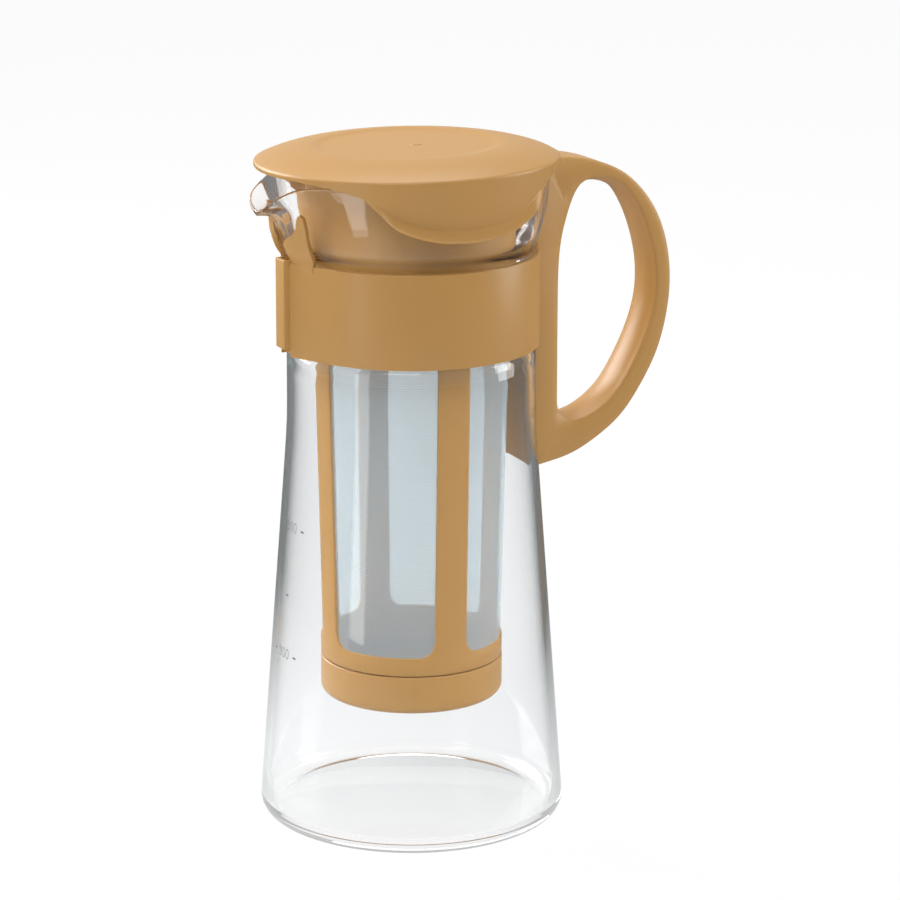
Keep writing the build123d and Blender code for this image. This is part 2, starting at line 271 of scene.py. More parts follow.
def soften(bm: BMesh, edges: Sequence[BMEdge], width: float, segments: int = 2) -> None:
    """Rounds edges.

    Args:
        bm: the bmesh that holds them.
        edges: the edges to round.
        width: how far the rounding reaches.
        segments: how many faces it has.
    """
    bmesh.ops.bevel(
        bm,
        geom=list(edges),
        offset=width,
        offset_type="OFFSET",
        affect="EDGES",
        segments=segments,
        profile=0.5,
        material=-1,
        clamp_overlap=True,
    )


def level_edges(bm: BMesh, heights: Sequence[float]) -> list[BMEdge]:
    """The edges that lie level at one of these heights."""
    return [
        edge
        for edge in bm.edges
        if any(all(abs(v.co.z - height) < 1e-3 for v in edge.verts) for height in heights)
    ]


def thicken(bm: BMesh, wall: float, edge_round: float = 0.0) -> None:
    """Gives an open sheet a thickness, and rounds its border.

    Args:
        bm: the sheet, with its faces pointing outwards.
        wall: thickness, laid on the inner side.
        edge_round: width of the rounding on the border's edges, or 0 for none.
    """
    bm.normal_update()
    inward = bm.verts.layers.float_vector.new("inward")
    for vert in bm.verts:
        vert[inward] = -vert.normal
    made = bmesh.ops.extrude_face_region(bm, geom=list(bm.faces), use_keep_orig=True)["geom"]
    for item in made:
        if isinstance(item, BMVert):
            item.co += item[inward] * wall
    bmesh.ops.recalc_face_normals(bm, faces=bm.faces)
    if edge_round > 0:
        sharp = [e for e in bm.edges if e.calc_face_angle(0.0) > math.radians(50)]
        soften(bm, sharp, edge_round)


def turn_outward(bm: BMesh, middle: Callable[[Vector], Vector]) -> None:
    """Flips a sheet whose faces point inwards.

    Args:
        bm: the sheet.
        middle: gives, for a point, the direction that counts as outward there.
    """
    total = sum(face.normal.dot(middle(face.calc_center_median())) for face in bm.faces)
    if total < 0:
        bmesh.ops.reverse_faces(bm, faces=bm.faces)


def from_axis(spot: Vector) -> Vector:
    """The level direction from the jug's axis to a point."""
    return Vector((spot.x, spot.y, 0.0))


def finish_piece(
    bm: BMesh,
    name: str,
    material: bpy.types.Material,
    body: Body,
    slot: Slot | None,
    replaces: Sequence[str] = (),
    crease: float = 32.0,
) -> bpy.types.Object:
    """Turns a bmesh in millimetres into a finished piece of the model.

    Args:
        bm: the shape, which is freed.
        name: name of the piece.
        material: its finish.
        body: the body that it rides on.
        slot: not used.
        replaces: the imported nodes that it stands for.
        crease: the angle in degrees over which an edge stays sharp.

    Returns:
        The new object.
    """
    bmesh.ops.scale(bm, vec=(MM, MM, MM), verts=bm.verts)
    bm.normal_update()
    for face in bm.faces:
        face.smooth = True
    for edge in bm.edges:
        edge.smooth = edge.calc_face_angle(0.0) < math.radians(crease)
    mesh = bpy.data.meshes.new(name)
    bm.to_mesh(mesh)
    bm.free()
    mesh.materials.append(material)
    piece = bpy.data.objects.new(name, mesh)
    bpy.context.scene.collection.objects.link(piece)
    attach(piece, body.value)
    if replaces:
        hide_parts(*replaces)
    LOG.info("%s: %d faces, rides on %s", name, len(mesh.polygons), body.value)
    return piece


# ------------------------------------------------------------------ finishes


def fresh_material(name: str) -> tuple[bpy.types.Material, bpy.types.NodeTree, bpy.types.Node]:
    """A new material with an empty tree.

    Args:
        name: name of the material.

    Returns:
        The material, its tree and its output node.
    """
    material = bpy.data.materials.new(name)
    material.use_nodes = True
    tree = material.node_tree
    tree.nodes.clear()
    return material, tree, tree.nodes.new("ShaderNodeOutputMaterial")


@dataclass(frozen=True)
class SatinPlastic:
    """Opaque moulded plastic with a satin skin."""

    name: str = "tan plastic"
    colour: Colour = (0.485, 0.26, 0.073)
    roughness: float = 0.38
    grain_scale: float = 1400.0
    grain_height: float = 0.000012
    cloud_scale: float = 18.0
    cloud_share: float = 0.035

    def build(self) -> bpy.types.Material:
        """The material, with a fine grain and faint clouds in its colour."""
        material, tree, output = fresh_material(self.name)
        shader = tree.nodes.new("ShaderNodeBsdfPrincipled")
        shader.inputs["Roughness"].default_value = self.roughness
        shader.inputs["IOR"].default_value = 1.49
        place = tree.nodes.new("ShaderNodeTexCoord")
        clouds = tree.nodes.new("ShaderNodeTexNoise")
        clouds.inputs["Scale"].default_value = self.cloud_scale
        clouds.inputs["Detail"].default_value = 1.0
        tones = tree.nodes.new("ShaderNodeMix")
        tones.data_type = "RGBA"
        for socket, share in ((6, 1 - self.cloud_share), (7, 1 + self.cloud_share)):
            tones.inputs[socket].default_value = (*(c * share for c in self.colour), 1.0)
        grain = tree.nodes.new("ShaderNodeTexNoise")
        grain.inputs["Scale"].default_value = self.grain_scale
        bump = tree.nodes.new("ShaderNodeBump")
        bump.inputs["Distance"].default_value = self.grain_height
        for noise in (clouds, grain):
            tree.links.new(place.outputs["Object"], noise.inputs["Vector"])
        tree.links.new(clouds.outputs["Fac"], tones.inputs[0])
        tree.links.new(tones.outputs[2], shader.inputs["Base Color"])
        tree.links.new(grain.outputs["Fac"], bump.inputs["Height"])
        tree.links.new(bump.outputs["Normal"], shader.inputs["Normal"])
        tree.links.new(shader.outputs[0], output.inputs["Surface"])
        return material


@dataclass(frozen=True)
class ClearGlass:
    """Clear borosilicate glass, greyer where it is looked at edge on."""

    name: str = "clear glass"
    face_tint: Colour = (0.962, 0.969, 0.975)
    edge_tint: Colour = (0.50, 0.575, 0.58)
    edge_start: float = 0.64
    edge_end: float = 0.90
    base_top: float = 0.006
    cup_bottom: float = 0.150
    ior: float = 1.47
    most_turns: float = 1.5
    lamp_tint: Colour = (0.935, 0.94, 0.94)

    def build(self) -> bpy.types.Material:
        """The material, which lets light from the lamps through to what is behind it."""
        material, tree, output = fresh_material(self.name)
        shader = tree.nodes.new("ShaderNodeBsdfPrincipled")
        shader.inputs["Roughness"].default_value = 0.0
        shader.inputs["IOR"].default_value = self.ior
        shader.inputs["Transmission Weight"].default_value = 1.0
        facing = tree.nodes.new("ShaderNodeLayerWeight")
        facing.inputs["Blend"].default_value = 0.5
        edge = tree.nodes.new("ShaderNodeMapRange")
        edge.interpolation_type = "SMOOTHSTEP"
        edge.inputs["From Min"].default_value = self.edge_start
        edge.inputs["From Max"].default_value = self.edge_end
        place = tree.nodes.new("ShaderNodeTexCoord")
        split = tree.nodes.new("ShaderNodeSeparateXYZ")
        wall = tree.nodes.new("ShaderNodeMapRange")
        wall.inputs["From Min"].default_value = 0.5 * self.base_top
        wall.inputs["From Max"].default_value = self.base_top
        cup = tree.nodes.new("ShaderNodeMapRange")
        cup.inputs["From Min"].default_value = self.cup_bottom
        cup.inputs["From Max"].default_value = self.cup_bottom + 0.01
        cup.inputs["To Min"].default_value = 1.0
        cup.inputs["To Max"].default_value = 0.0
        grey = tree.nodes.new("ShaderNodeMath")
        grey.operation = "MULTIPLY"
        tint = tree.nodes.new("ShaderNodeMix")
        tint.data_type = "RGBA"
        tint.inputs[6].default_value = (*self.face_tint, 1.0)
        tint.inputs[7].default_value = (*self.edge_tint, 1.0)
        clear = tree.nodes.new("ShaderNodeMix")
        clear.data_type = "RGBA"
        clear.inputs[6].default_value = (1.0, 1.0, 1.0, 1.0)
        path = tree.nodes.new("ShaderNodeLightPath")
        through = tree.nodes.new("ShaderNodeBsdfTransparent")
        shade = tree.nodes.new("ShaderNodeMix")
        shade.data_type = "RGBA"
        shade.inputs[6].default_value = (1.0, 1.0, 1.0, 1.0)
        shade.inputs[7].default_value = (*self.lamp_tint, 1.0)
        tree.links.new(cup.outputs[0], shade.inputs[0])
        tree.links.new(shade.outputs[2], through.inputs["Color"])
        mix = tree.nodes.new("ShaderNodeMixShader")
        tree.links.new(facing.outputs["Facing"], edge.inputs["Value"])
        tree.links.new(place.outputs["Object"], split.inputs[0])
        for share in (wall, cup):
            tree.links.new(split.outputs["Z"], share.inputs["Value"])
        tree.links.new(wall.outputs[0], grey.inputs[0])
        tree.links.new(cup.outputs[0], grey.inputs[1])
        tree.links.new(grey.outputs[0], clear.inputs[0])
        tree.links.new(edge.outputs[0], tint.inputs[0])
        tree.links.new(tint.outputs[2], clear.inputs[7])
        tree.links.new(clear.outputs[2], shader.inputs["Base Color"])
        caught = tree.nodes.new("ShaderNodeMath")
        caught.operation = "GREATER_THAN"
        caught.inputs[1].default_value = self.most_turns
        let_out = tree.nodes.new("ShaderNodeMath")
        let_out.operation = "MAXIMUM"
        tree.links.new(path.outputs["Glossy Depth"], caught.inputs[0])
        tree.links.new(path.outputs["Is Shadow Ray"], let_out.inputs[0])
        tree.links.new(caught.outputs[0], let_out.inputs[1])
        tree.links.new(let_out.outputs[0], mix.inputs[0])
        tree.links.new(shader.outputs[0], mix.inputs[1])
        tree.links.new(through.outputs[0], mix.inputs[2])
        tree.links.new(mix.outputs[0], output.inputs["Surface"])
        return material


@dataclass(frozen=True)
class FilterCloth:
    """Fine woven filter mesh that the light comes through in part."""

    name: str = "filter cloth"
    colour: Colour = (0.62, 0.77, 0.86)
    cover: float = 0.33
    threads_per_metre: float = 1500.0

    def build(self) -> bpy.types.Material:
        """The material, with its weave in the surface's own coordinates."""
        material, tree, output = fresh_material(self.name)
        shader = tree.nodes.new("ShaderNodeBsdfPrincipled")
        shader.inputs["Base Color"].default_value = (*self.colour, 1.0)
        shader.inputs["Roughness"].default_value = 0.55
        glow = tree.nodes.new("ShaderNodeBsdfTranslucent")
        glow.inputs["Color"].default_value = (*self.colour, 1.0)
        cloth = tree.nodes.new("ShaderNodeMixShader")
        cloth.inputs[0].default_value = 0.45
        through = tree.nodes.new("ShaderNodeBsdfTransparent")
        through.inputs["Color"].default_value = (1.0, 0.975, 0.955, 1.0)
        place = tree.nodes.new("ShaderNodeTexCoord")
        split = tree.nodes.new("ShaderNodeSeparateXYZ")
        threads = tree.nodes.new("ShaderNodeMath")
        threads.operation = "MULTIPLY"
        threads.inputs[1].default_value = math.tau * self.threads_per_metre
        wave = tree.nodes.new("ShaderNodeMath")
        wave.operation = "SINE"
        cover = tree.nodes.new("ShaderNodeMapRange")
        cover.inputs["From Min"].default_value = -1.0
        cover.inputs["To Min"].default_value = self.cover - 0.02
        cover.inputs["To Max"].default_value = self.cover + 0.02
        mix = tree.nodes.new("ShaderNodeMixShader")
        tree.links.new(place.outputs["Object"], split.inputs[0])
        tree.links.new(split.outputs["Z"], threads.inputs[0])
        tree.links.new(threads.outputs[0], wave.inputs[0])
        tree.links.new(wave.outputs[0], cover.inputs["Value"])
        tree.links.new(cover.outputs[0], mix.inputs[0])
        tree.links.new(shader.outputs[0], cloth.inputs[1])
        tree.links.new(glow.outputs[0], cloth.inputs[2])
        tree.links.new(through.outputs[0], mix.inputs[1])
        tree.links.new(cloth.outputs[0], mix.inputs[2])
        tree.links.new(mix.outputs[0], output.inputs["Surface"])
        return material


@dataclass(frozen=True)
class ScreenPrint:
    """Thin grey ink on the glass."""

    name: str = "grey ink"
    colour: Colour = (0.12, 0.13, 0.13)
    roughness: float = 0.6

    def build(self) -> bpy.types.Material:
        """The plain material."""
        material, tree, output = fresh_material(self.name)
        shader = tree.nodes.new("ShaderNodeBsdfPrincipled")
        shader.inputs["Base Color"].default_value = (*self.colour, 1.0)
        shader.inputs["Roughness"].default_value = self.roughness
        tree.links.new(shader.outputs[0], output.inputs["Surface"])
        return material


@dataclass(frozen=True)
class PaleFloor:
    """White paper sweep, which keeps a faint shadow."""

    name: str = "white paper"
    colour: Colour = (0.9, 0.9, 0.9)
    clean_share: float = 0.95
    card_middle: Pair = (-0.08, 0.0)
    card_start: Pair = (0.09, 0.95)
    card_end: Pair = (0.3, 0.15)

    def build(self) -> bpy.types.Material:
        """The material: paper for the lamps, nearly plain white for the eye."""
        material, tree, output = fresh_material(self.name)
        paper = tree.nodes.new("ShaderNodeBsdfDiffuse")
        paper.inputs["Color"].default_value = (*self.colour, 1.0)
        white = tree.nodes.new("ShaderNodeEmission")
        place = tree.nodes.new("ShaderNodeTexCoord")
        away = tree.nodes.new("ShaderNodeVectorMath")
        away.operation = "DISTANCE"
        away.inputs[1].default_value = (*self.card_middle, 0.0)
        tree.links.new(place.outputs["Object"], away.inputs[0])
        level = ramp(tree, away.outputs["Value"], self.card_start, self.card_end)
        seen, brightness = eye_rays(tree, level)
        share = tree.nodes.new("ShaderNodeMath")
        share.operation = "MULTIPLY"
        share.inputs[1].default_value = self.clean_share
        mix = tree.nodes.new("ShaderNodeMixShader")
        tree.links.new(seen, share.inputs[0])
        tree.links.new(brightness, white.inputs["Strength"])
        tree.links.new(share.outputs[0], mix.inputs[0])
        tree.links.new(paper.outputs[0], mix.inputs[1])
        tree.links.new(white.outputs[0], mix.inputs[2])
        tree.links.new(mix.outputs[0], output.inputs["Surface"])
        return material


def eye_rays(
    tree: bpy.types.NodeTree, level: bpy.types.NodeSocket
) -> tuple[bpy.types.NodeSocket, bpy.types.NodeSocket]:
    """Tells apart the rays that come from the eye, straight or by way of glass and gloss.

    Args:
        tree: the tree to add the nodes to.
        level: the brightness that mirrored rays see.

    Returns:
        A socket that is 1 for rays from the eye and 0 for every other, and one with the
        brightness that they see, which is 1 for those that were never mirrored.
    """
    path = tree.nodes.new("ShaderNodeLightPath")

    def step(operation: str, *terms: bpy.types.NodeSocket | float) -> bpy.types.NodeSocket:
        """One step of arithmetic."""
        node = tree.nodes.new("ShaderNodeMath")
        node.operation = operation
        for socket, term in zip(node.inputs, terms):
            if isinstance(term, float):
                socket.default_value = term
            else:
                tree.links.new(term, socket)
        return node.outputs[0]

    straight = step("MAXIMUM", path.outputs["Is Camera Ray"], path.outputs["Is Transmission Ray"])
    seen = step("MAXIMUM", straight, path.outputs["Is Glossy Ray"])
    mirrored = step("MINIMUM", path.outputs["Glossy Depth"], 1.0)
    dimming = step("SUBTRACT", 1.0, level)
    return seen, step("SUBTRACT", 1.0, step("MULTIPLY", mirrored, dimming))


def ramp(
    tree: bpy.types.NodeTree, value: bpy.types.NodeSocket, start: Pair, end: Pair
) -> bpy.types.NodeSocket:
    """A straight ramp.

    Args:
        tree: the tree to add the node to.
        value: what the ramp runs along.
        start: place and level of its beginning.
        end: place and level of its end.

    Returns:
        The socket with the level.
    """
    node = tree.nodes.new("ShaderNodeMapRange")
    for name, number in (("From Min", start[0]), ("From Max", end[0]), ("To Min", start[1]),
                         ("To Max", end[1])):
        node.inputs[name].default_value = number
    tree.links.new(value, node.inputs["Value"])
    return node.outputs[0]


# ------------------------------------------------------------------ glass jug


@dataclass
class GlassJug:
    """The blown jug: a cone with a groove at the neck, a cup above it and a pulled spout."""

    material: bpy.types.Material
    base_radius: float = 45.68
    waist_radius: float = 36.45
    cone_height: float = 120.0
    heel: float = 4.9
    groove_radius: float = 35.2
    groove_bottom: float = 143.1
    groove_top: float = 171.0
    rim_height: float = 194.6
    wall: float = 1.95
    floor: float = 3.0
    steps: int = 280
    cup_levels: int = 22

    rim_pull: tuple[Pair, ...] = (
        (0.0, 1.0), (4.5, 0.99), (7.6, 0.936), (9.6, 0.85), (11.3, 0.7), (13.2, 0.53),
        (16.0, 0.35), (20.5, 0.196), (27.3, 0.11), (34.0, 0.04), (42.0, 0.0),
    )
    rim_drop: tuple[Pair, ...] = (
        (0.0, 1.0), (4.5, 0.83), (7.6, 0.65), (9.6, 0.49), (11.3, 0.35), (13.2, 0.215),
        (16.0, 0.112), (20.5, 0.04), (27.3, 0.0),
    )
    cup_outside: tuple[Pair, ...] = (
        (35.2, 170.2), (35.45, 171.2), (36.1, 172.3), (37.0, 175.0), (38.2, 179.0),
        (39.3, 184.0), (39.65, 188.0), (39.8, 193.65),
    )
    spout_outside: tuple[Pair, ...] = (
        (35.2, 170.2), (36.4, 171.4), (38.9, 173.2), (40.2, 175.4), (41.2, 178.9),
        (42.2, 182.0), (43.6, 183.9), (45.7, 184.5), (48.3, 184.75),
    )
    cup_inside: tuple[Pair, ...] = (
        (37.9, 193.65), (37.7, 188.0), (37.3, 184.0), (36.5, 179.5), (35.7, 176.0),
        (34.6, 173.9), (33.5, 172.4), (33.25, 171.0),
    )
    spout_inside: tuple[Pair, ...] = (
        (48.3, 186.35), (45.2, 186.2), (42.6, 185.6), (40.6, 183.4), (39.3, 180.0),
        (38.1, 176.4), (36.0, 173.9), (33.8, 172.4), (33.25, 171.0),
    )

    def cone_radius(self, height: float) -> float:
        """Outer radius of the cone and the waist at a height."""
        slope = (self.base_radius - self.waist_radius) / self.cone_height
        straight = self.base_radius - slope * height
        soft = 1.2
        over = straight - self.waist_radius
        return self.waist_radius + 0.5 * (over + math.sqrt(over * over + (soft * slope * 4) ** 2))

    def profile(self) -> tuple[list[Pair], list[Pair]]:
        """The section of the plain wall, and the same levels at the middle of the spout.

        Returns:
            Two lists of (radius, height), from the middle of the base round the rim to the
            middle of the inside floor.
        """
        heel_z = self.heel
        low = self.cone_radius(heel_z)
        plain: list[Pair] = [(0.0, 0.35), (low - self.heel - 4.0, 0.35), (low - self.heel - 1.5, 0.05)]
        plain += arc((low - self.heel, heel_z), self.heel, -90.0, -2.0, 9)
        plain += [(self.cone_radius(z), z) for z in range(8, 140, 4)]
        plain += [(self.waist_radius, self.groove_bottom - 1.6)]
        plain += [(self.groove_radius + 0.55, self.groove_bottom - 0.5)]
        plain += [(self.groove_radius, self.groove_bottom + 0.4), (self.groove_radius, 157.0)]
        spout = list(plain)
        plain += along(self.cup_outside, self.cup_levels)
        spout += along(self.spout_outside, self.cup_levels)
        half = 0.5 * self.wall
        rim_middle = (self.cup_outside[-1][0] - half, self.cup_outside[-1][1])
        lip_middle = (self.spout_outside[-1][0], 0.5 * (184.75 + 186.35))
        plain += arc(rim_middle, half, 20.0, 160.0, 6)
        spout += arc(lip_middle, 0.8, -70.0, 70.0, 6)
        plain += along(self.cup_inside, self.cup_levels)
        spout += along(self.spout_inside, self.cup_levels)
        inner: list[Pair] = [(self.groove_radius - self.wall, 157.0)]
        inner += [(self.groove_radius - self.wall, self.groove_bottom)]
        inner += [(self.waist_radius - self.wall - 0.4, self.groove_bottom - 1.5)]
        inner += [(self.waist_radius - self.wall, self.groove_bottom - 4.0)]
        inner += [(self.cone_radius(z) - self.wall, z) for z in range(134, 10, -4)]
        corner = 3.4
        inner_low = self.cone_radius(self.floor + corner) - self.wall
        inner += arc((inner_low - corner, self.floor + corner), corner, -4.0, -90.0, 8)
        inner += [(30.0, self.floor - 0.15), (15.0, self.floor - 0.3), (0.0, self.floor - 0.35)]
        return plain + inner, spout + inner

    def shape(self) -> BMesh:
        """The closed glass wall, in millimetres."""
        plain, spout = self.profile()
        bm = spin_profile(plain, self.steps)
        level = bm.verts.layers.int["level"]
        for vert in bm.verts:
            flat, pulled = plain[vert[level]], spout[vert[level]]
            if flat == pulled:
                continue
            away = math.degrees(math.atan2(abs(vert.co.y), -vert.co.x))
            radius = flat[0] + (pulled[0] - flat[0]) * read_off(self.rim_pull, away)
            turn = math.atan2(vert.co.y, vert.co.x)
            vert.co.x = radius * math.cos(turn)
            vert.co.y = radius * math.sin(turn)
            vert.co.z = flat[1] + (pulled[1] - flat[1]) * read_off(self.rim_drop, away)
        return bm

    def build(self) -> BVHTree:
        """Makes the glass.

        Returns:
            A tree of its surface in millimetres, for pieces that lie on it.
        """
        bm = self.shape()
        bm.normal_update()
        surface = BVHTree.FromBMesh(bm)
        finish_piece(
            bm, "jug_glass", self.material, Body.JUG, Slot.GLASS, ["glass_jug"], crease=60.0
        )
        return surface


@dataclass
class Graduations:
    """The printed marks on the glass under the spout."""

    material: bpy.types.Material
    jug: GlassJug
    digit_size: float = 4.6
    ink: float = 0.04
    mark_heights: tuple[tuple[str, float], ...] = (("500", 91.7), ("", 71.2), ("300", 53.7))
    tick_reach: float = 6.5
    tick_length: float = 1.6
    tick_width: float = 0.55

    def wrapped(self, bm: BMesh, height: float) -> None:
        """Wraps a flat sheet in the XY plane round the cone, with its origin under the spout.

        Args:
            bm: the flat sheet in millimetres.
            height: where its origin goes.
        """
        for vert in bm.verts:
            z = height + vert.co.y
            radius = self.jug.cone_radius(z) + self.ink + vert.co.z
            turn = math.pi + vert.co.x / radius
            vert.co = Vector((radius * math.cos(turn), radius * math.sin(turn), z))

    def digits(self, text: str) -> BMesh:
        """The digits as a flat sheet, centred on the origin."""
        curve = bpy.data.curves.new("digits", "FONT")
        curve.body = text
        curve.size = self.digit_size
        curve.align_x = "CENTER"
        curve.align_y = "CENTER"
        curve.offset = -0.02 * self.digit_size
        words = bpy.data.objects.new("digits", curve)
        bpy.context.scene.collection.objects.link(words)
        bpy.context.view_layer.update()
        graph = bpy.context.evaluated_depsgraph_get()
        mesh = bpy.data.meshes.new_from_object(words.evaluated_get(graph))
        bm = bmesh.new()
        bm.from_mesh(mesh)
        bpy.data.objects.remove(words)
        bpy.data.curves.remove(curve)
        bpy.data.meshes.remove(mesh)
        return bm

    def tick(self, bm: BMesh, middle: float) -> None:
        """Adds one short level line.

        Args:
            bm: the sheet to add it to.
            middle: its place to the left or right of the digits.
        """
        made = bmesh.ops.create_grid(bm, x_segments=2, y_segments=1, size=0.5)["verts"]
        bmesh.ops.scale(bm, vec=(self.tick_length, self.tick_width, 1), verts=made)
        bmesh.ops.translate(bm, vec=(middle, 0, 0), verts=made)

    def build(self) -> None:
        """Makes one piece for each mark."""
        for text, height in self.mark_heights:
            if text:
                bm = self.digits(text)
                self.tick(bm, -self.tick_reach)
                self.tick(bm, self.tick_reach)
            else:
                bm = bmesh.new()
                self.tick(bm, 0.0)
            self.wrapped(bm, height)
            name = f"mark_{text or 'between'}"
            finish_piece(bm, name, self.material, Body.JUG, None)


# ------------------------------------------------------------------ band, clasp and handle


@dataclass
class NeckBand:
    """The band round the neck with its nose under the spout, and the rail for the clasp."""

    material: bpy.types.Material
    bottom: float = 143.3
    top: float = 170.95
    inside: float = 35.35
    outside: float = 37.4
    nose_front: float = 40.0
    nose_half: float = 3.1
    recess: float = 38.2
    split_half: float = 0.3
    rail_neck: float = 1.0
    rail_head: float = 2.0
    rail_steps: Pair = (39.2, 40.35)
    edge: float = 0.4

    def outline(self) -> list[Pair]:
        """The band seen from above, from one end of the split round to the other."""
        reach = math.hypot(self.nose_front, self.nose_half)
        turn = math.atan2(self.nose_half, self.nose_front)
        turn += math.atan2(math.sqrt(reach**2 - self.outside**2), self.outside)
        start = 180.0 - math.degrees(turn)
        gap = math.degrees(math.asin(self.split_half / self.inside))
        front = [
            (-self.inside, self.split_half),
            (-self.recess, self.split_half),
            (-self.recess, self.nose_half),
            (-self.nose_front, self.nose_half),
        ]
        ring = arc((0, 0), self.outside, start, -start, 180)
        back = [(x, -y) for x, y in reversed(front)]
        inner = arc((0, 0), self.inside, -180.0 + gap, 180.0 - gap, 180)
        return front + ring + back + inner[1:-1]

    def build(self) -> None:
        """Makes the band and its rail."""
        bm = plate(self.outline(), self.bottom, self.top)
        soften(bm, level_edges(bm, (self.bottom, self.top)), self.edge, 3)
        finish_piece(
            bm, "neck_band", self.material, Body.JUG, Slot.PLASTIC, ["handle_band"]
        )
        wide, front = self.rail_steps
        for side, name in ((1, "rail_far"), (-1, "rail_near")):
            corners = [
                (-self.recess + 0.3, self.split_half),
                (-self.recess + 0.3, self.rail_neck),
                (-wide, self.rail_neck),
                (-wide, self.rail_head),
                (-front, self.rail_head),
                (-front, self.split_half),
            ]
            bm = plate([(x, side * y) for x, y in corners], self.bottom + 2.2, self.top - 0.3)
            finish_piece(bm, name, self.material, Body.JUG, Slot.PLASTIC)


@dataclass
class Horns:
    """The two horns that stand up from the band beside the spout."""

    material: bpy.types.Material
    surface: BVHTree
    root: float = 168.0
    gap: float = 0.35
    wall: float = 1.25
    edge: float = 0.35
    flush_top: float = 175.5
    flush_reach: float = 4.0
    nose_line: tuple[Pair, ...] = ((3.1, 40.0), (16.2, 33.7))
    inner_edge: tuple[Pair, ...] = (
        (168.0, 3.05), (170.0, 3.05), (177.0, 3.25), (178.6, 4.7), (180.6, 7.4),
        (182.6, 8.9), (184.2, 9.4), (185.6, 9.9), (186.3, 10.5),
    )
    outer_edge: tuple[Pair, ...] = (
        (168.0, 10.6), (169.6, 10.6), (174.0, 11.1), (179.0, 11.6), (183.0, 12.0),
        (185.0, 11.9), (185.9, 11.5), (186.3, 10.9),
    )
    columns: int = 10
    rows: int = 48

    def build(self) -> None:
        """Makes both horns, each laid on the glass and given its wall."""
        top = self.inner_edge[-1][0]
        for side, name in ((1, "horn_far"), (-1, "horn_near")):

            def place(column: int, row: int) -> Vector:
                """A point of the horn's inner sheet, just clear of the glass."""
                height = self.root + (top - self.root) * (row / self.rows) ** 0.85
                near = read_off(self.inner_edge, height)
                far = read_off(self.outer_edge, height)
                across = side * (near + (far - near) * column / self.columns)
                hit, normal, _, _ = self.surface.ray_cast(
                    Vector((-80.0, across, height)), Vector((1.0, 0.0, 0.0))
                )
                spot = hit + normal * (self.gap + self.wall)
                low = min(max((self.flush_top - height) / self.flush_reach, 0.0), 1.0)
                sunk = 0.35 * min(max(1 - (height - self.root) / 1.9, 0.0), 1.0)
                nose = sunk - 0.03 - read_off(self.nose_line, abs(across))
                spot.x += low * min(nose - spot.x, 0.0)
                return spot

            bm = skin(self.columns, self.rows, place, (False, False))
            bmesh.ops.smooth_vert(
                bm,
                verts=[v for v in bm.verts if not v.is_boundary],
                factor=0.5,
                use_axis_x=True,
                use_axis_y=True,
                use_axis_z=True,
            )
            bm.normal_update()
            turn_outward(bm, from_axis)
            thicken(bm, self.wall, self.edge)
            finish_piece(bm, name, self.material, Body.JUG, Slot.PLASTIC)


@dataclass
class Clasp:
    """The channel that slides over the rail and holds the band shut."""

    material: bpy.types.Material
    back: float = 38.3
    front: float = 41.8
    half: float = 3.0
    bottom: float = 145.5
    top: float = 171.65
    neck: float = 1.25
    head: float = 2.25
    step: float = 38.95
    room: float = 40.65
    edge: float = 0.45

    def build(self) -> None:
        """Makes the clasp as one channel, open at both ends."""
        half = [
            (-self.back, self.neck),
            (-self.step, self.neck),
            (-self.step, self.head),
            (-self.room, self.head),
        ]
        outside = [
            (-self.back, -self.half),
            (-self.front, -self.half),
            (-self.front, self.half),
            (-self.back, self.half),
        ]
        inside = half + [(x, -y) for x, y in reversed(half)]
        bm = plate(outside + inside, self.bottom, self.top)
        upright = [
            edge
            for edge in bm.edges
            if all(v.co.x < -self.front + 0.01 for v in edge.verts)
            and abs(edge.verts[0].co.y - edge.verts[1].co.y) < 0.01
        ]
        rims = [
            edge
            for edge in level_edges(bm, (self.bottom, self.top))
            if max(v.co.x for v in edge.verts) < -self.back - 0.5
            and (
                min(v.co.x for v in edge.verts) < -self.front + 0.01
                or min(abs(v.co.y) for v in edge.verts) > self.half - 0.01
            )
        ]
        soften(bm, upright + rims, self.edge, 3)
        finish_piece(
            bm, "clasp_channel", self.material, Body.CLASP, Slot.PLASTIC, ["band_clasp"]
        )


